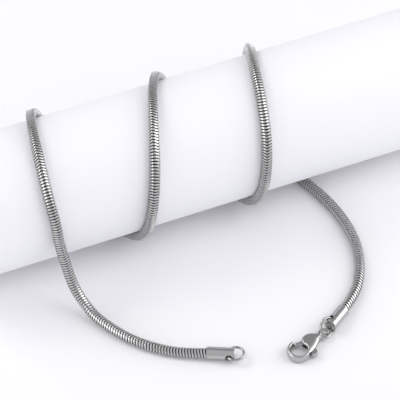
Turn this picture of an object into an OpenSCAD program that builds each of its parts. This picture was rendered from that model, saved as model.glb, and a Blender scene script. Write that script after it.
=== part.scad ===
// Snake chain necklace, open, wound round a plain display cylinder.
// Millimetres, Z up, z = 0 is the surface that everything lies on.

/* [Chain] */
// Thickness of the snake chain across its flats
chain_d = 2.4; // [2:0.05:2.7]

/* [Display cylinder] */
// Diameter of the display cylinder
roll_d = 32; // [26:0.5:38]
// Length of the display cylinder
roll_length = 130; // [114:1:180]
// Radius of the rounded edge at each end of the cylinder
roll_edge = 0.6; // [0.2:0.1:2]
// Gap between the cylinder and the chain on it
wrap_gap = 0.05; // [0.02:0.01:0.2]

/* [End caps] */
// Length of an end cap
cap_length = 6.4; // [5.8:0.1:8]
// Wall of an end cap round the chain's end
cap_wall = 0.15; // [0.1:0.01:0.3]
// Depth of the socket that the chain's end is glued into
socket_depth = 2.4; // [1.2:0.1:2.8]
// Gap between the chain's end and its socket, all round and at the bottom
socket_gap = 0.05; // [0.02:0.01:0.1]
// Width of the chamfer at both ends of a cap
cap_chamfer = 0.08; // [0.04:0.01:0.09]
// Metal left between a cap's cross hole and its free end
hole_land = 0.35; // [0.3:0.01:0.6]

/* [Rings] */
// Wire thickness of the two rings
ring_wire = 0.6; // [0.5:0.01:0.7]
// Room between the inside of a ring and the side of its cap
ring_room = 0.15; // [0.1:0.01:0.3]
// Gap between a ring's wire and the edges of the cross hole it passes through
ring_gap = 0.06; // [0.04:0.01:0.09]
// Angle that the free end ring tips up by
end_ring_tip = 6; // [0:1:12]
// Roll of the clasp's cap, which turns its cross hole and the ring in it
clasp_ring_roll = -55; // [-65:1:-50]
// Angle that the clasp's ring is swung about the cross hole
clasp_ring_swing = 20; // [10:1:25]

/* [Lobster clasp] */
// Thickness of the clasp's body
clasp_t = 2.15; // [2:0.05:2.5]
// Heading of the clasp on the surface, from +X
clasp_heading = 198; // [192:1:204]
// Wire thickness of the clasp's eye
eye_wire = 0.7; // [0.6:0.05:0.9]
// Hole of the clasp's eye
eye_hole_d = 1.8; // [1.7:0.05:2]
// Distance from the eye's centre to the hook's centre
hook_reach = 7.9; // [7.8:0.1:8.4]
// Outer radius of the hook
hook_r = 2.85; // [2.75:0.05:3]
// Width of the hook's band
hook_band = 0.95; // [0.85:0.05:1.1]
// Distance from the eye's centre to the lever's pin
pivot_reach = 4.1; // [4:0.05:4.2]
// Height of the slot between the clasp's two cheeks
slot_h = 0.9; // [0.8:0.05:1]
// Gap between the lever and the slot, above and below
lever_gap = 0.1; // [0.05:0.01:0.15]
// Height of the gate where it closes the hook
gate_h = 1.1; // [0.8:0.05:1.6]
// Height of the thumb tab
tab_h = 1.25; // [1:0.05:1.8]
// Diameter of the lever's pin
pin_d = 0.7; // [0.5:0.05:0.8]
// Running gap between the pin and the lever, on the radius
pin_gap = 0.05; // [0.03:0.01:0.08]

/* [Hidden] */
steel = "#b9b9b5";
dark_steel = "#9c9c99";
white = "#f6f6fa";

// The chain's route was chosen by hand. Turns are counted in degrees round the cylinder from its
// underside, front first, so 90 is the front, 180 the top and 270 the back.
wrap_first = 90;
wrap_last = 1070;
// Place along the cylinder at every 45 degrees of turn, from 90 to 1080
wrap_x = [-42.2, -42.8, -41, -37, -31.3, -26.3, -22.6, -20.4, -19.3, -16.4, -11.85, -6, -0.6, 4, 6.9, 8.1,
          9.1, 11.1, 13.8, 17.6, 19.9, 20.6, 21.4];
station_step = 45;
// Run from the ring end's cap: x, and how far it lies in front of the turns
ring_run = [[-24.1, 27.4], [-27.9, 24.5], [-31.1, 21.3], [-33.7, 17.8]];
// Lift from the surface up to the cylinder: x, distance in front of the turns, height above the run
lift = [[-35.8, 14, 0.05], [-37.6, 10.3, 0.3], [-38.3, 8.3, 0.9], [-39.15, 6.1, 2.2], [-40.3, 3.9, 4.9],
        [-41.15, 1.85, 9.8]];
// Run from under the cylinder to the clasp end's cap: x, and how far it lies in front of the axis
clasp_run = [[22.6, 3.5], [24.4, 8.4], [26, 13.4], [27, 18.6], [27.4, 23.8], [27, 29.2], [25.6, 34.6],
             [23.2, 39.7], [20.4, 43.6]];
// Mouths of the two caps, and where the caps point
ring_mouth = [-18.5, 30.2];
ring_heading = -26.5;
clasp_mouth = [15.5, 47.7];
clasp_cap_heading = 217;

// Chain, turns and cylinder
ring_turn = 20;
wrap_r = roll_d / 2 + wrap_gap + chain_d / 2;
tube_r = wrap_r / cos(ring_turn / 2);
axis_z = wrap_r + chain_d / 2;
tube_sides = 8;
corner_r = chain_d / 2 / cos(180 / tube_sides);

// Caps and rings. A ring clears its cap's cross hole where the ring crosses the cap's side.
socket_d = 2 * (corner_r + socket_gap);
cap_r = socket_d / 2 + cap_wall;
loop_r = cap_r + ring_room + ring_wire / 2;
loop_back = sqrt((cap_r + ring_room - ring_gap) ^ 2 - cap_r ^ 2);
hole_d = loop_r + ring_wire / 2 + ring_gap - loop_back;
hole_x = cap_length - hole_land - hole_d / 2;
loop_x = hole_d / 2 + loop_back;
ring_mouth_xy = [ring_mouth[0], -wrap_r - ring_mouth[1]];
clasp_mouth_xy = [clasp_mouth[0], -clasp_mouth[1]];

// The clasp's ring stands on the surface and holds up the end of its cap. In the cap's own frame it
// reaches out along ring_out, and its wire passes through the cap along ring_down.
ring_out = [cos(clasp_ring_swing), sin(clasp_ring_swing) * sin(clasp_ring_roll),
            -sin(clasp_ring_swing) * cos(clasp_ring_roll)];
ring_down = [0, cos(clasp_ring_roll), sin(clasp_ring_roll)];
rise_guess = 5;
rise_corrections = 6;
clasp_rise = settled(rise_guess, rise_corrections);
ring_centre = [0, 0, cap_r] + raised([hole_x, 0, 0] + loop_x * ring_out, clasp_rise);

// Lobster clasp, in its own plane: x from the eye to the hook, y towards the thumb tab
clasp_mid = clasp_t / 2;
eye_r = (eye_hole_d + eye_wire) / 2;
// The clasp's eye is held where the ring comes down to the clasp's middle height
out_dir = raised(ring_out, clasp_rise);
down_dir = raised(ring_down, clasp_rise);
eye_turn = atan2(down_dir[2], out_dir[2])
    + acos((clasp_mid - ring_centre[2]) / loop_r / norm([out_dir[2], down_dir[2]]));
eye_at = ring_centre + loop_r * (cos(eye_turn) * out_dir + sin(eye_turn) * down_dir);
eye_xy = clasp_mouth_xy + turned([eye_at[0], eye_at[1]], clasp_cap_heading);
pivot = [pivot_reach, 0.1];
hook_c = [hook_reach, 0.2];
hook_in = hook_r - hook_band;
// The body's outline is arcs: the hook's, from its tip to the spine, and the tail's, the gate side's
// and the flank's, each with its centre, radius, first and last angle
tip_angle = -101;
spine_angle = 102;
mouth_angle = 205;
tail_arc = [[eye_r + 0.6, 0], 0.75, 110, 235];
gate_side_arc = [[pivot_reach + 0.1, 0.3], 2.5, 225, 300];
flank_arc = [[hook_reach + 1, -9.15], 12, 101, 123.5];
// Cross section of the clasp: share of its thickness, and inset as a share of the hook's band
clasp_layers = [[0, 0.34], [0.08, 0.17], [0.22, 0.04], [0.36, 0],
                [0.64, 0], [0.78, 0.04], [0.92, 0.17], [1, 0.34]];
slot_from = 2.3;
slot_to = hook_reach - 1.3;
// The gate's tip, placed about the hook's centre: distance outside the hook's inner edge, and
// angle past the hook's own tip, which it meets from outside and backs from inside
gate_tip_rows = [[0.5, -19], [0.5, -8], [-0.12, -8], [-0.12, 9], [-0.5, 6], [-0.45, -26]];
// The lever's roots, placed about its pin
gate_root = [[0.9, -0.5], [-0.6, -0.7], [0.85, -1.75]];
tab_root = [[0.9, 0.2], [-0.9, 0.3], [-1.1, 0.8], [0.5, 1.9]];
// What stands out past the flank: share of the slot's length beyond the pin, and height on the flank
tab_neck = [[0.32, 0.54], [0.88, 0.54], [0.88, -0.06]];
thumb_tab = [[0.28, 0.28], [0.92, 0.3], [0.98, 0.54], [0.9, 0.96], [0.6, 1.3], [0.4, 1.2], [0.24, 0.68]];
hub_r = 1;
pin_skin = 0.3;
pin_end_gap = 0.05;
pin_fit = 0.01;
// The tail is planed down on both faces towards the eye
tail_h = 1.5;
tail_slope = 16;
tail_plane = [8, 8, 3];

// The whole object's box is centred on Y
back_y = tube_r + chain_d / 2;
front_y = eye_xy[1] + turned(hook_c, clasp_heading)[1] - hook_r;
shift_y = -(front_y + back_y) / 2;
fine = 96;
small = 48;

function turned(p, a) = [p[0] * cos(a) - p[1] * sin(a), p[0] * sin(a) + p[1] * cos(a)];
function unit(v) = v / norm(v);
function arc(c, r, from, to, n) =
    [for (i = [0:n]) let(a = from + (to - from) * i / n) c + r * [cos(a), sin(a)]];

// A direction tipped upwards by an angle
function raised(v, rise) =
    [v[0] * cos(rise) - v[2] * sin(rise), v[1], v[0] * sin(rise) + v[2] * cos(rise)];

// Height of the clasp ring's lowest point when the cap rises by an angle
function ring_low(rise) =
    let(out = raised(ring_out, rise), down = raised(ring_down, rise))
    cap_r + hole_x * sin(rise) + loop_x * out[2] - loop_r * norm([out[2], down[2]]) - ring_wire / 2;

// The rise at which the ring just stands on the surface, by repeated correction
function settled(rise, steps) =
    steps == 0 ? rise : settled(rise - ring_low(rise) / (hole_x + loop_x) * 180 / PI, steps - 1);

// Smooth value through evenly spaced stations
function smooth(v, t) =
    let(i = min(floor(t), len(v) - 2), f = t - i,
        b = v[i], c = v[i + 1],
        a = i > 0 ? v[i - 1] : 2 * b - c,
        d = i + 2 < len(v) ? v[i + 2] : 2 * c - b)
    (2 * b + (c - a) * f + (2 * a - 5 * b + 4 * c - d) * f * f + (3 * b - a - 3 * c + d) * f * f * f) / 2;

function wrap_point(a, r) =
    [smooth(wrap_x, (a - wrap_first) / station_step), -r * sin(a), axis_z - r * cos(a)];

// Centres of the tube's rings, from the ring end to the clasp end
route = concat(
    [for (d = [socket_depth - socket_gap, 0])
        let(p = ring_mouth_xy + turned([d, 0], ring_heading)) [p[0], p[1], cap_r]],
    [for (p = ring_run) [p[0], -wrap_r - p[1], chain_d / 2]],
    [for (p = lift) [p[0], -wrap_r - p[1], chain_d / 2 + p[2]]],
    [for (a = [wrap_first:ring_turn:wrap_last]) wrap_point(a, tube_r)],
    [for (p = clasp_run) [p[0], -p[1], chain_d / 2]],
    [for (d = [0, socket_depth - socket_gap])
        let(p = clasp_mouth_xy + turned([d * cos(clasp_rise), 0], clasp_cap_heading))
        [p[0], p[1], cap_r + d * sin(clasp_rise)]]);

function heading_at(i) = unit(route[min(i + 1, len(route) - 1)] - route[max(i - 1, 0)]);

// One ring of the tube: flats face the cylinder and the surface
function tube_ring(i) =
    let(t = heading_at(i), n = unit([0, -t[2], t[1]]), s = cross(n, t))
    [for (k = [0:tube_sides - 1])
        let(a = (k + 0.5) * 360 / tube_sides) route[i] + corner_r * (cos(a) * s + sin(a) * n)];

module in_frame() {
    translate([0, shift_y, 0]) children();
}

module snake_chain() {
    last = len(route) - 1;
    points = [for (i = [0:last]) each tube_ring(i)];
    sides = [for (i = [0:last - 1], k = [0:tube_sides - 1])
        let(a = i * tube_sides + k, b = i * tube_sides + (k + 1) % tube_sides)
        each [[a, a + tube_sides, b + tube_sides], [a, b + tube_sides, b]]];
    first_end = [for (k = [0:tube_sides - 1]) k];
    last_end = [for (k = [tube_sides - 1:-1:0]) last * tube_sides + k];
    color(steel) in_frame() polyhedron(points, concat(sides, [first_end, last_end]));
}

// A cap lies along +X from its mouth, with its cross hole rolled about that axis
module cap(roll) {
    rotate([roll, 0, 0]) difference() {
        rotate([90, 0, 90]) rotate_extrude($fn = small) difference() {
            polygon([[0, 0], [cap_r - cap_chamfer, 0], [cap_r, cap_chamfer],
                     [cap_r, cap_length - cap_chamfer], [cap_r - cap_chamfer, cap_length], [0, cap_length]]);
            square([socket_d / 2, socket_depth]);
        }
        translate([hole_x, 0, 0]) rotate([90, 0, 0])
            cylinder(h = 3 * cap_r, d = hole_d, center = true, $fn = small);
    }
}

// A ring through a cap's cross hole, swung about that hole
module loop(roll, swing) {
    rotate([roll, 0, 0]) translate([hole_x, 0, 0]) rotate([0, swing, 0]) translate([loop_x, 0, 0])
        rotate_extrude($fn = small) translate([loop_r, 0]) circle(d = ring_wire, $fn = small);
}

module at_ring_end() {
    in_frame() translate([ring_mouth_xy[0], ring_mouth_xy[1], cap_r])
        rotate([0, 0, ring_heading]) children();
}

module at_clasp_end() {
    in_frame() translate([clasp_mouth_xy[0], clasp_mouth_xy[1], cap_r])
        rotate([0, -clasp_rise, clasp_cap_heading]) children();
}

module at_clasp() {
    in_frame() translate(eye_xy) rotate(clasp_heading) children();
}

module ring_cap() {
    color(steel) at_ring_end() cap(0);
}

module end_ring() {
    color(dark_steel) at_ring_end() loop(0, -end_ring_tip);
}

module clasp_cap() {
    color(steel) at_clasp_end() cap(clasp_ring_roll);
}

module clasp_ring() {
    color(dark_steel) at_clasp_end() loop(clasp_ring_roll, clasp_ring_swing);
}

// Outline of the clasp body, counter-clockwise, with the open mouth between gate side and hook tip
tail_line = arc(tail_arc[0], tail_arc[1], tail_arc[2], tail_arc[3], 8);
gate_side_line = arc(gate_side_arc[0], gate_side_arc[1], gate_side_arc[2], gate_side_arc[3], 5);
hook_inner_line = arc(hook_c, hook_in, mouth_angle, tip_angle, 30);
hook_outer_line = arc(hook_c, hook_r, tip_angle, spine_angle, 22);
flank_line = arc(flank_arc[0], flank_arc[1], flank_arc[2], flank_arc[3], 5);
clasp_outline = concat(tail_line, gate_side_line, hook_inner_line, hook_outer_line, flank_line);
hook_tip = len(tail_line) + len(gate_side_line) + len(hook_inner_line) - 1;

// The outline moved inwards by d
function inset(p, d) =
    [for (i = [0:len(p) - 1])
        let(a = unit(p[i] - p[(i + len(p) - 1) % len(p)]), b = unit(p[(i + 1) % len(p)] - p[i]),
            m = [-a[1] - b[1], a[0] + b[0]])
        p[i] + d * m / (1 + a * b)];

// Triangles that fill a bent band's outline, from its tip on, with i on one side and j on the other
function band_fill(p, i, j) =
    let(n = len(p), a = (i + n - 1) % n, b = (j + 1) % n)
    a == b ? [[i, j, a]] :
    norm(p[a] - p[j]) < norm(p[i] - p[b]) ? concat([[i, j, a]], band_fill(p, a, j)) :
    concat([[i, j, b]], band_fill(p, i, b));

// The clasp body's rounded slab, lofted through its layers
module clasp_slab() {
    n = len(clasp_outline);
    last = len(clasp_layers) - 1;
    points = [for (row = clasp_layers)
        each [for (p = inset(clasp_outline, row[1] * hook_band)) [p[0], p[1], row[0] * clasp_t]]];
    sides = [for (i = [0:last - 1], k = [0:n - 1])
        let(a = i * n + k, b = i * n + (k + 1) % n)
        each [[a, a + n, b + n], [a, b + n, b]]];
    fill = band_fill(clasp_outline, hook_tip, hook_tip + 1);
    top = [for (f = fill) [for (k = [2:-1:0]) last * n + f[k]]];
    polyhedron(points, concat(sides, fill, top));
}

// What is planed off the tail, on the face given by 1 or -1
module tail_cut(face) {
    translate([eye_r, 0, clasp_mid + face * tail_h / 2]) rotate([0, -face * tail_slope, 0])
        translate([-tail_plane[0] / 2, 0, face * tail_plane[2] / 2]) cube(tail_plane, center = true);
}

module clasp_body() {
    color(steel) at_clasp() difference() {
        union() {
            difference() {
                clasp_slab();
                tail_cut(1);
                tail_cut(-1);
            }
            translate([0, 0, clasp_mid]) rotate_extrude($fn = small)
                translate([eye_r, 0]) circle(d = eye_wire, $fn = small);
        }
        translate([slot_from, -hook_r, clasp_mid - slot_h / 2])
            cube([slot_to - slot_from, 2 * hook_r, slot_h]);
        at_pin() translate([0, 0, pin_skin])
            cylinder(h = clasp_t - 2 * pin_skin, d = pin_d + 2 * pin_fit, $fn = small);
    }
}

module at_pin() {
    translate([pivot[0], pivot[1], 0]) children();
}

// A flat piece of the lever, of height h about the middle of the clasp
module lever_piece(h) {
    translate([0, 0, clasp_mid - h / 2]) linear_extrude(h) children();
}

function about_pin(shape) = [for (p = shape) pivot + p];
function on_flank(shape) =
    [for (p = shape)
        let(x = pivot[0] + p[0] * (slot_to - pivot[0]),
            flank_y = flank_arc[0][1] + sqrt(flank_arc[1] ^ 2 - (x - flank_arc[0][0]) ^ 2))
        [x, flank_y + p[1]]];

module clasp_lever() {
    gate_tip = [for (row = gate_tip_rows)
        hook_c + (hook_in + row[0]) * [cos(tip_angle + row[1]), sin(tip_angle + row[1])]];
    color(dark_steel) at_clasp() difference() {
        union() {
            lever_piece(slot_h - 2 * lever_gap) {
                translate(pivot) circle(r = hub_r, $fn = small);
                polygon(concat(gate_tip, about_pin(gate_root)));
                polygon(concat(about_pin(tab_root), on_flank(tab_neck)));
            }
            lever_piece(gate_h) polygon(gate_tip);
            lever_piece(tab_h) polygon(on_flank(thumb_tab));
        }
        at_pin() cylinder(h = clasp_t, d = pin_d + 2 * pin_gap, $fn = small);
    }
}

module lever_pin() {
    color(steel) at_clasp() at_pin() translate([0, 0, pin_skin + pin_end_gap])
        cylinder(h = clasp_t - 2 * (pin_skin + pin_end_gap), d = pin_d, $fn = small);
}

module display_cylinder() {
    half = roll_length / 2;
    color(white) in_frame() translate([0, 0, axis_z]) rotate([90, 0, 90]) rotate_extrude($fn = fine) {
        translate([0, -half]) square([roll_d / 2 - roll_edge, roll_length]);
        translate([0, roll_edge - half]) square([roll_d / 2, roll_length - 2 * roll_edge]);
        for (end = [-1, 1])
            translate([roll_d / 2 - roll_edge, end * (half - roll_edge)]) circle(r = roll_edge, $fn = small);
    }
}

snake_chain();
ring_cap();
end_ring();
clasp_cap();
clasp_ring();
clasp_body();
clasp_lever();
lever_pin();
display_cylinder();
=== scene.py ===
import math

import bmesh
import bpy
from mathutils import Matrix, Vector


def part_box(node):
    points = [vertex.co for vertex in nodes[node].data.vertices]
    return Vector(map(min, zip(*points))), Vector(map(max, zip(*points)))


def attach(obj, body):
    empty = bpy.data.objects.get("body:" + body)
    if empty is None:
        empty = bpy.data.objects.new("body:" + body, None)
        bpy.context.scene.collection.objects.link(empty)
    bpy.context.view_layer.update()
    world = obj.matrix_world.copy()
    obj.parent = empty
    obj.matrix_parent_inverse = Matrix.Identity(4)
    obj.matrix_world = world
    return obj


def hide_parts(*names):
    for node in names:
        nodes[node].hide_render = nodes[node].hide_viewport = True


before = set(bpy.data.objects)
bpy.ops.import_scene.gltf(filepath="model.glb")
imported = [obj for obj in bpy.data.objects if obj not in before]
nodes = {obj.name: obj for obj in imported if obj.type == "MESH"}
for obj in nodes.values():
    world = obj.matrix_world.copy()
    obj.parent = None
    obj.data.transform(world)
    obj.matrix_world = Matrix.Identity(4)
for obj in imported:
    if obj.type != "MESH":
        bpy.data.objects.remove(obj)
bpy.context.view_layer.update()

# Snake chain wound on a white display cylinder. Lengths in the dictionaries are in millimetres, and the
# scales of the noise patterns are per metre.
mm = 0.001

cylinderLow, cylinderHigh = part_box("display_cylinder")
axisY = (cylinderLow[1] + cylinderHigh[1]) / 2
axisZ = (cylinderLow[2] + cylinderHigh[2]) / 2
print("frame loaded, cylinder axis at", round(axisY / mm, 3), round(axisZ / mm, 3))


# Camera, at the angle of the photograph
cameraSet = {"azimuth": -23, "elevation": 47, "lens": 360, "sensor": 36, "distance": 948,
             "aim": (0, 0, -2.08)}

turn, rise = math.radians(cameraSet["azimuth"]), math.radians(cameraSet["elevation"])
cameraBack = Vector((math.sin(turn) * math.cos(rise), -math.cos(turn) * math.cos(rise), math.sin(rise)))
cameraAim = Vector(cameraSet["aim"]) * mm + Vector((0, axisY, 0))
cameraData = bpy.data.cameras.new("photoCamera")
cameraData.lens, cameraData.sensor_width = cameraSet["lens"], cameraSet["sensor"]
camera = bpy.data.objects.new("photoCamera", cameraData)
camera.location = cameraAim + cameraBack * cameraSet["distance"] * mm
camera.rotation_euler = (-cameraBack).to_track_quat("-Z", "Y").to_euler()
bpy.context.scene.collection.objects.link(camera)
bpy.context.scene.camera = camera
print("camera placed")


# Shader building
class Wire:
    # An output socket, so that maths on it reads as a plain expression
    def __init__(self, shader, socket):
        self.shader, self.socket = shader, socket

    def maths(self, operation, first, second):
        return self.shader.node("ShaderNodeMath", {"operation": operation}, {0: first, 1: second})

    def __add__(self, other):
        return self.maths("ADD", self, other)

    def __sub__(self, other):
        return self.maths("SUBTRACT", self, other)

    def __rsub__(self, other):
        return self.maths("SUBTRACT", other, self)

    def __mul__(self, other):
        return self.maths("MULTIPLY", self, other)

    __radd__ = __add__
    __rmul__ = __mul__


class Shader:
    # The nodes of a material, or of the world when told so
    def __init__(self, name, constants, owners=bpy.data.materials, ending="Principled BSDF"):
        self.material = owners.new(name)
        self.material.use_nodes = True
        self.tree = self.material.node_tree
        self.surface = self.tree.nodes[ending]
        for socket, value in constants.items():
            self.surface.inputs[socket].default_value = value

    def node(self, kind, settings, sockets, output=0):
        made = self.tree.nodes.new(kind)
        for key, value in settings.items():
            setattr(made, key, value)
        for key, value in sockets.items():
            if isinstance(value, Wire):
                self.tree.links.new(value.socket, made.inputs[key])
            else:
                made.inputs[key].default_value = value
        return Wire(self, made.outputs[output])

    def place(self):
        return self.node("ShaderNodeTexCoord", {}, {}, "Object")

    def noise(self, scale, detail=3, place=None, roughness=0.55):
        return self.node("ShaderNodeTexNoise", {}, {"Vector": place or self.place(), "Scale": scale,
                                                    "Detail": detail, "Roughness": roughness})

    def mix(self, factor, first, second):
        # sockets 6 and 7 take the two colours, and output 2 gives the mixed one
        return self.node("ShaderNodeMix", {"data_type": "RGBA"}, {0: factor, 6: first, 7: second}, 2)

    def ramp(self, value, low, high):
        # rises smoothly from 0 at low to 1 at high
        return self.node("ShaderNodeMapRange", {"interpolation_type": "SMOOTHSTEP"},
                         {"Value": value, "From Min": low, "From Max": high})

    def bump(self, height, strength, distance):
        return self.node("ShaderNodeBump", {}, {"Height": height, "Strength": strength,
                                                "Distance": distance})

    def feed(self, **wires):
        for name, wire in wires.items():
            self.tree.links.new(wire.socket, self.surface.inputs[name.replace("_", " ")])


# Link steel: bright crests, and dark oxide and painted shade in the gaps between the links. The links' own
# attribute says how much of a point is crest: all gap colour up to grooveFrom, and all steel from grooveTo.
chainFinish = {"bright": (0.62, 0.617, 0.61, 1), "dull": (0.52, 0.517, 0.51, 1),
               "grooveOxideAndShade": (0.06, 0.058, 0.056, 1), "grooveFrom": 0.3, "grooveTo": 0.75,
               "roughness": 0.2, "roughnessSpread": 0.14, "grooveRoughness": 0.25, "patchScale": 900,
               "grainScale": 9000, "grainDepth": 0.004, "grainStrength": 0.15}


def chainSteel():
    made = Shader("chainSteel", {"Metallic": 1.0})
    crest = made.node("ShaderNodeAttribute", {"attribute_name": "crest"}, {}, "Fac")
    patches = made.noise(chainFinish["patchScale"])
    grain = made.noise(chainFinish["grainScale"], detail=2)
    steel = made.mix(patches, chainFinish["dull"], chainFinish["bright"])
    # painted shade: the dark gap colour is mixed in where the crest attribute is low
    height = made.ramp(crest, chainFinish["grooveFrom"], chainFinish["grooveTo"])
    made.feed(Base_Color=made.mix(height, chainFinish["grooveOxideAndShade"], steel),
              Roughness=chainFinish["roughness"] + patches * chainFinish["roughnessSpread"]
              + (1 - height) * chainFinish["grooveRoughness"],
              Normal=made.bump(grain, chainFinish["grainStrength"], chainFinish["grainDepth"] * mm))
    return made.material


# Polished steel, with the faint lines that a polishing wheel leaves. The rings' drawn wire is darker than the
# caps, and the cast clasp has a finer, duller skin.
polishFinish = {"bright": (0.56, 0.556, 0.55, 1), "dull": (0.47, 0.467, 0.46, 1),
                "roughness": 0.12, "roughnessSpread": 0.16, "patchScale": 700, "lineScale": 2600,
                "lineStretch": (0.12, 1.0, 1.0), "lineDepth": 0.01, "lineStrength": 0.3}
wireFinish = dict(polishFinish, bright=(0.5, 0.495, 0.49, 1), dull=(0.4, 0.398, 0.39, 1))
castFinish = dict(polishFinish, bright=(0.56, 0.55, 0.545, 1), dull=(0.44, 0.43, 0.43, 1), roughness=0.2,
                  patchScale=2400, lineScale=5200, lineStretch=(1.0, 0.5, 1.0), lineDepth=0.012,
                  lineStrength=0.5)


def polishedSteel(name, finish):
    made = Shader(name, {"Metallic": 1.0})
    patches = made.noise(finish["patchScale"])
    stretched = made.node("ShaderNodeMapping", {}, {"Vector": made.place(), "Scale": finish["lineStretch"]})
    lines = made.noise(finish["lineScale"], detail=2, place=stretched)
    made.feed(Base_Color=made.mix(patches, finish["dull"], finish["bright"]),
              Roughness=finish["roughness"] + patches * lines * finish["roughnessSpread"],
              Normal=made.bump(lines, finish["lineStrength"], finish["lineDepth"] * mm))
    return made.material


# Matt white paint of the cylinder, with a roller's faint peel
paintFinish = {"white": (0.935, 0.937, 0.965, 1), "shade": (0.92, 0.922, 0.95, 1), "roughness": 0.62,
               "roughnessSpread": 0.1, "specular": 0.3, "patchScale": 45, "peelScale": 1500,
               "peelDepth": 0.02, "peelStrength": 0.2}


def whitePaint():
    made = Shader("whitePaint", {"Specular IOR Level": paintFinish["specular"]})
    patches = made.noise(paintFinish["patchScale"])
    peel = made.noise(paintFinish["peelScale"], detail=2)
    made.feed(Base_Color=made.mix(patches, paintFinish["shade"], paintFinish["white"]),
              Roughness=paintFinish["roughness"] + peel * paintFinish["roughnessSpread"],
              Normal=made.bump(peel, paintFinish["peelStrength"], paintFinish["peelDepth"] * mm))
    return made.material


capSteel = polishedSteel("capSteel", polishFinish)
wireSteel = polishedSteel("wireSteel", wireFinish)
castSteel = polishedSteel("castSteel", castFinish)
linkSteel = chainSteel()
matPaint = whitePaint()
print("finishes made")


def meshObject(name, shape, finish):
    mesh = bpy.data.meshes.new(name)
    shape.to_mesh(mesh)
    shape.free()
    for face in mesh.polygons:
        face.use_smooth = True
        face.material_index = 0
    mesh.materials.append(finish)
    made = bpy.data.objects.new(name, mesh)
    bpy.context.scene.collection.objects.link(made)
    return made


def addPiece(name, shape, body, slot, finish, *replaced):
    piece = meshObject(name, shape, finish)
    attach(piece, body)
    if replaced:
        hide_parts(*replaced)
    return piece


def clamped(value):
    return max(0, min(1, value))


# The necklace's route, as in the part's source: from the ring's cap, round the cylinder, to the clasp's cap.
# The line through its points has spanSteps steps from each point to the next, and the rubs smooth it.
chainRoute = {
    "wrapRadius": 17.25, "wrapStep": 10, "firstAngle": 90, "lastAngle": 1070, "stationStep": 45,
    "wrapX": [-42.2, -42.8, -41, -37, -31.3, -26.3, -22.6, -20.4, -19.3, -16.4, -11.85, -6, -0.6, 4, 6.9,
              8.1, 9.1, 11.1, 13.8, 17.6, 19.9, 20.6, 21.4],
    "ringRun": [(-24.1, 27.4), (-27.9, 24.5), (-31.1, 21.3), (-33.7, 17.8)],
    "lift": [(-35.8, 14, 0.05), (-37.6, 10.3, 0.3), (-38.3, 8.3, 0.9), (-39.15, 6.1, 2.2), (-40.3, 3.9, 4.9),
             (-41.15, 1.85, 9.8)],
    "claspRun": [(22.6, 3.5), (24.4, 8.4), (26, 13.4), (27, 18.6), (27.4, 23.8), (27, 29.2),
                 (25.6, 34.6), (23.2, 39.7), (20.4, 43.6)],
    "ringMouth": (-18.5, 30.2), "ringHeading": -26.5,
    "claspMouth": (15.5, 47.7), "claspHeading": 217, "claspRise": 5.984,
    "socket": 2.3, "height": 1.2, "capHeight": 1.49887, "spanSteps": 12, "rubs": 40}


def catmullRom(before, start, end, after, share):
    return 0.5 * (2 * start + (end - before) * share + (2 * before - 5 * start + 4 * end - after) * share ** 2
                  + (3 * start - before - 3 * end + after) * share ** 3)


def fourAround(values, first):
    return [values[max(0, min(len(values) - 1, first + k))] for k in (-1, 0, 1, 2)]


def smoothed(values, place):
    first = min(int(place), len(values) - 2)
    return catmullRom(*fourAround(values, first), place - first)


def routePoints():
    r = chainRoute
    radius, low = r["wrapRadius"], r["height"]

    def floorPoint(x, y, z):
        return Vector((x * mm, axisY + y * mm, z * mm))

    def headed(mouth, offset, heading, lift, away):
        # a point on a cap's axis, away from its mouth
        flat = math.radians(heading)
        along = Vector((math.cos(flat) * math.cos(lift), math.sin(flat) * math.cos(lift), math.sin(lift)))
        return floorPoint(mouth[0], -offset - mouth[1], r["capHeight"]) + along * away * mm

    points = [headed(r["ringMouth"], radius, r["ringHeading"], 0, r["socket"]),
              headed(r["ringMouth"], radius, r["ringHeading"], 0, 0)]
    points += [floorPoint(x, -radius - d, low) for x, d in r["ringRun"]]
    points += [floorPoint(x, -radius - d, low + extra) for x, d, extra in r["lift"]]
    for angle in range(r["firstAngle"], r["lastAngle"] + 1, r["wrapStep"]):
        a = math.radians(angle)
        x = smoothed(r["wrapX"], (angle - r["firstAngle"]) / r["stationStep"])
        points.append(Vector((x * mm, axisY - radius * mm * math.sin(a), axisZ - radius * mm * math.cos(a))))
    points += [floorPoint(x, -d, low) for x, d in r["claspRun"]]
    lift = math.radians(r["claspRise"])
    points += [headed(r["claspMouth"], 0, r["claspHeading"], 0, 0),
               headed(r["claspMouth"], 0, r["claspHeading"], lift, r["socket"])]
    return points


def linkPlaces(points):
    # the smooth line through the points, cut into steps of one pitch. The last bend opens the links a little.
    s, steps = linkSet, chainRoute["spanSteps"]
    fine = []
    for k in range(len(points) - 1):
        fine += [catmullRom(*fourAround(points, k), step / steps) for step in range(steps)]
    fine.append(points[-1])
    for rub in range(chainRoute["rubs"]):
        fine[1:-1] = [(before + 2 * here + after) / 4
                      for before, here, after in zip(fine, fine[1:], fine[2:])]
    reach = [0]
    for start, end in zip(fine, fine[1:]):
        reach.append(reach[-1] + (end - start).length)
    places, marks, k, goal = [], [], 0, 0
    while goal <= reach[-1]:
        while k < len(fine) - 2 and reach[k + 1] < goal:
            k += 1
        places.append(fine[k].lerp(fine[k + 1], (goal - reach[k]) / (reach[k + 1] - reach[k])))
        marks.append(goal / mm)
        opened = clamped((goal / mm - s["opensFrom"]) / s["opensOver"])
        goal += s["pitch"] * (1 + opened * s["opening"]) * mm
    return places, marks, reach[-1]
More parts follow.
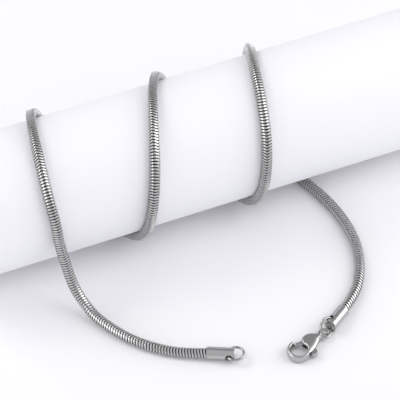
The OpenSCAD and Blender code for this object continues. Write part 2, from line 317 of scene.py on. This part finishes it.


# The chain's links: nested saddle-shaped rings of rounded square outline, on a core in the dark gap colour,
# as painted shade. Each has a broad, slightly crowned crest between steep flanks. The profile is in shares of
# flat and width, and so are weld, crestFrom and rimTo. Two tables go by the length along the chain: roll
# gives its twist in degrees, and the other how dark the painted shade in the gaps between the links is, from
# 0 to 1.
linkSet = {"pitch": 0.68, "opensFrom": 382, "opensOver": 16, "opening": 0.13,
           "profile": [(0.84, -0.49), (0.972, -0.33), (1, 0), (0.972, 0.33), (0.84, 0.49)],
           "flat": 1.08, "width": 0.68, "squareness": 4, "around": 12, "lean": 0.12, "cornerPinch": 0.14,
           "weld": 1e-4, "crestFrom": 0.95, "rimTo": 0.999, "grooveShadeLevel": -0.4, "cornerShade": 0.42,
           "shadeFocus": 8, "coreRadius": 0.86, "coreSides": 8,
           "roll": [(0, 26), (6, 26), (14, 30), (22, 33), (31, 32), (42, 35), (50, 45), (57, 46), (64, 41),
                    (71, 31), (80, 14), (88, 0), (140, -14), (152, -10), (160, 10), (168, 22), (176, 24),
                    (184, 10), (190, 10), (204, 20), (256, 65), (268, 88), (276, 104), (282, 116),
                    (288, 128), (292, 130), (299, 124), (312, 125), (350, 155), (358, 168), (374, 170),
                    (386, 158), (396, 142), (404, 130), (420, 122)],
           "grooveShading": [(0, 0.4), (14, 0.44), (26, 0.6), (44, 1), (294, 1), (306, 0.5), (326, 0.5),
                       (338, 0.9), (352, 0.85), (374, 0.72), (387, 0.5), (397, 0.5), (404, 0.85),
                       (420, 0.85)]}


def linkShape():
    s = linkSet
    shape = bmesh.new()
    crest = shape.verts.layers.float.new("crest")
    diagonal = math.sqrt(0.5)
    ring = [shape.verts.new((r * diagonal, r * diagonal, z)) for r, z in s["profile"]]
    for vert, (r, z) in zip(ring, s["profile"]):
        # painted shade: the flanks get a crest value below zero, so more of them takes the dark gap colour
        vert[crest] = 1 if r > s["crestFrom"] else s["grooveShadeLevel"]
    edges = [shape.edges.new((ring[k - 1], ring[k])) for k in range(len(ring))]
    bmesh.ops.spin(shape, geom=ring + edges, cent=(0, 0, 0), axis=(0, 0, 1), dvec=(0, 0, 0),
                   angle=2 * math.pi, steps=s["around"], use_merge=True)
    bmesh.ops.remove_doubles(shape, verts=shape.verts[:], dist=s["weld"])
    for edge in shape.edges:  # the crest's two rims stay sharp
        low, high = sorted(vert.co.xy.length for vert in edge.verts)
        edge.smooth = not (high - low < s["weld"] and s["crestFrom"] < low < s["rimTo"])
    for vert in shape.verts:
        angle, power = math.atan2(vert.co.y, vert.co.x), s["squareness"]
        bulge = (abs(math.cos(angle)) ** power + abs(math.sin(angle)) ** power) ** (-1 / power)
        corner = math.sin(2 * angle)
        # painted shade: the crest darkens towards the corners, where two facets meet
        vert[crest] *= 1 - s["cornerShade"] * corner ** s["shadeFocus"]
        vert.co.x *= bulge * s["flat"] * mm
        vert.co.y *= bulge * s["flat"] * mm
        vert.co.z = (vert.co.z * s["width"] * (1 - s["cornerPinch"] * corner ** 2) + s["lean"] * corner) * mm
    bmesh.ops.recalc_face_normals(shape, faces=shape.faces[:])
    return shape


def valueAt(name, length):
    # what a table says at a length along the chain, between its two nearest entries
    table = linkSet[name]
    for (start, low), (end, high) in zip(table, table[1:]):
        if length <= end:
            return low + (high - low) * (length - start) / (end - start)
    return table[-1][1]


def linkFrames(places, marks):
    # each link stands square to the chain, turned by the roll
    frames = []
    for k, place in enumerate(places):
        along = (places[min(k + 1, len(places) - 1)] - places[max(k - 1, 0)]).normalized()
        out = Vector((0, -along.z, along.y)).normalized()
        side = out.cross(along)
        roll = Matrix.Rotation(math.radians(valueAt("roll", marks[k])), 4, "Z")
        columns = Matrix((side, along.cross(side), along)).transposed().to_4x4()
        frames.append(Matrix.Translation(place) @ columns @ roll)
    return frames


def addLinks(frames, marks):
    pattern = linkShape()
    patternMesh = bpy.data.meshes.new("linkPattern")
    pattern.to_mesh(patternMesh)
    pattern.free()
    chain = bmesh.new()
    for placing, mark in zip(frames, marks):
        known = len(chain.verts)
        chain.from_mesh(patternMesh)
        chain.verts.ensure_lookup_table()
        crest = chain.verts.layers.float["crest"]
        # painted shade: how dark this link's gaps are painted, from the table by length along the chain
        depth = valueAt("grooveShading", mark)
        for vert in chain.verts[known:]:
            vert[crest] = 1 - (1 - vert[crest]) * depth
        bmesh.ops.transform(chain, matrix=placing, verts=chain.verts[known:])
    addPiece("chainLinks", chain, "necklace", "chain_steel", linkSteel, "snake_chain")
    bpy.data.meshes.remove(patternMesh)


# painted shade: the core has no crest attribute, so the link steel paints it all in the dark gap colour
def addCore(frames):
    sides = linkSet["coreSides"]
    core = bmesh.new()
    loops = []
    for placing in frames:
        bmesh.ops.create_circle(core, segments=sides, radius=linkSet["coreRadius"] * mm, matrix=placing)
        core.edges.ensure_lookup_table()
        loops.append(core.edges[-sides:])
    for first, second in zip(loops, loops[1:]):
        bmesh.ops.bridge_loops(core, edges=first + second)
    for loop in (loops[0], loops[-1]):
        bmesh.ops.contextual_create(core, geom=loop)
    bmesh.ops.recalc_face_normals(core, faces=core.faces[:])
    addPiece("chainCore", core, "necklace", "chain_steel", linkSteel)


def chainPieces():
    places, marks, length = linkPlaces(routePoints())
    frames = linkFrames(places, marks)
    addLinks(frames, marks)
    addCore(frames)
    print("chain made:", len(frames), "links over", round(length / mm, 1), "mm")


chainPieces()


# The clasp's body and lever as castings: the part's own solids, remeshed finely and softened at the edges.
# The body's faces also roll down to the flank, whose arc is the one in the part's source.
castingSet = {"pieces": [("claspCasting", "clasp_body", "necklace"),
                         ("leverCasting", "clasp_lever", "lever")],
              "weld": 0.001, "voxel": 0.08, "soften": 5, "softenFactor": 0.5,
              "pin": (4.7793, -34.1378), "pinReach": (4.1, 0.1), "heading": 198,
              "flankCentre": (8.9, -9.15), "flankRadius": 12, "flankFrom": 99, "flankTo": 126,
              "flankFade": 6, "rollWidth": 1.1, "rollDepth": 0.4, "rollPower": 1.5,
              "middle": 1.075, "cheekFrom": 0.5, "cheekTo": 0.95}


def eased(value):
    value = clamped(value)
    return value * value * (3 - 2 * value)


def flankRoll(place):
    # how far a point of the body's upper or lower face moves towards the middle
    s = castingSet
    along = Vector((math.cos(math.radians(s["heading"])), math.sin(math.radians(s["heading"]))))
    away = Vector((place.x / mm - s["pin"][0], place.y / mm - s["pin"][1]))
    own = Vector((away.dot(along) + s["pinReach"][0], along.cross(away) + s["pinReach"][1]))
    spoke = own - Vector(s["flankCentre"])
    angle = math.degrees(math.atan2(spoke.y, spoke.x))
    within = eased((angle - s["flankFrom"]) / s["flankFade"]) * eased((s["flankTo"] - angle) / s["flankFade"])
    near = clamped(1 - (s["flankRadius"] - spoke.length) / s["rollWidth"])
    height = place.z / mm - s["middle"]
    outer = clamped((abs(height) - s["cheekFrom"]) / (s["cheekTo"] - s["cheekFrom"]))
    return math.copysign(s["rollDepth"] * near ** s["rollPower"] * within * outer, height) * mm


def castings():
    s = castingSet
    for name, node, body in s["pieces"]:
        shape = bmesh.new()
        shape.from_mesh(nodes[node].data)
        bmesh.ops.remove_doubles(shape, verts=shape.verts[:], dist=s["weld"] * mm)
        piece = addPiece(name, shape, body, "polished_steel", castSteel, node)
        remesh = piece.modifiers.new("remesh", "REMESH")
        remesh.mode, remesh.voxel_size, remesh.use_smooth_shade = "VOXEL", s["voxel"] * mm, True
        soften = piece.modifiers.new("soften", "SMOOTH")
        soften.factor, soften.iterations = s["softenFactor"], s["soften"]
        rough = piece.data
        softened = piece.evaluated_get(bpy.context.evaluated_depsgraph_get())
        piece.data = bpy.data.meshes.new_from_object(softened)
        piece.data.name = name
        piece.modifiers.clear()
        bpy.data.meshes.remove(rough)
        if node == "clasp_body":
            for vert in piece.data.vertices:
                vert.co.z -= flankRoll(vert.co)
        print(name, "made,", len(piece.data.polygons), "faces")


castings()


# The parts that keep their CAD shape get their finish
nodeFinish = {"ring_cap": capSteel, "clasp_cap": capSteel, "end_ring": wireSteel, "clasp_ring": wireSteel,
              "lever_pin": castSteel, "display_cylinder": matPaint}
for nodeName, finish in nodeFinish.items():
    for holder in nodes[nodeName].material_slots:
        holder.material = finish
print("finishes given to", len(nodeFinish), "parts")


# Pale floor, just below what lies on it
floorSet = {"reach": 2000, "below": 0.03, "colour": (0.92, 0.915, 0.935, 1), "roughness": 0.7,
            "specular": 0.2}


def paleFloor():
    made = Shader("floorWhite", {"Base Color": floorSet["colour"], "Roughness": floorSet["roughness"],
                                 "Specular IOR Level": floorSet["specular"]})
    shape = bmesh.new()
    bmesh.ops.create_grid(shape, x_segments=1, y_segments=1, size=floorSet["reach"] * mm)
    bmesh.ops.translate(shape, vec=(0, 0, -floorSet["below"] * mm), verts=shape.verts[:])
    meshObject("floor", shape, made.material)


paleFloor()


# Soft studio light: a pale room, darker in a high band behind, with two high boxes and a low one on each
# side. The band's height goes from 0 at the horizon to 1 overhead. Each box has its place, size, watts and
# tint.
lightSet = {"front": (0.72, 0.72, 0.745, 1), "behind": (0.42, 0.42, 0.43, 1),
            "turnsFrom": 0.0, "turnsTo": 0.5, "bandHeight": 0.72, "bandFrom": 0.25, "bandTo": 0.5,
            "boxes": [("rightHighBox", (430, -230, 520), 380, 1.15, (1, 1, 1)),
                      ("leftHighBox", (-360, 360, 520), 380, 1.4, (1, 1, 1)),
                      ("keyBox", (560, -80, 170), 380, 0.95, (1, 0.995, 0.985)),
                      ("leftBox", (-560, 10, 120), 320, 0.7, (0.99, 0.99, 1))]}


def studioLight():
    room = Shader("room", {}, bpy.data.worlds, "Background")
    facing = room.node("ShaderNodeTexCoord", {}, {}, "Generated")
    behind = room.node("ShaderNodeSeparateXYZ", {}, {0: facing}, "Y")
    height = room.node("ShaderNodeSeparateXYZ", {}, {0: facing}, "Z")
    depth = room.ramp(behind, lightSet["turnsFrom"], lightSet["turnsTo"])
    apart = room.node("ShaderNodeMath", {"operation": "ABSOLUTE"}, {0: height - lightSet["bandHeight"]})
    outside = room.ramp(apart, lightSet["bandFrom"], lightSet["bandTo"])
    room.feed(Color=room.mix(depth * (1 - outside), lightSet["front"], lightSet["behind"]))
    bpy.context.scene.world = room.material
    for name, place, size, power, tint in lightSet["boxes"]:
        box = bpy.data.lights.new(name, "AREA")
        box.size, box.energy, box.color = size * mm, power, tint
        lamp = bpy.data.objects.new(name, box)
        lamp.location = Vector(place) * mm
        lamp.rotation_euler = (cameraAim - lamp.location).to_track_quat("-Z", "Y").to_euler()
        bpy.context.scene.collection.objects.link(lamp)
    bpy.context.scene.view_settings.view_transform = "Standard"


studioLight()
print("floor and lights set")
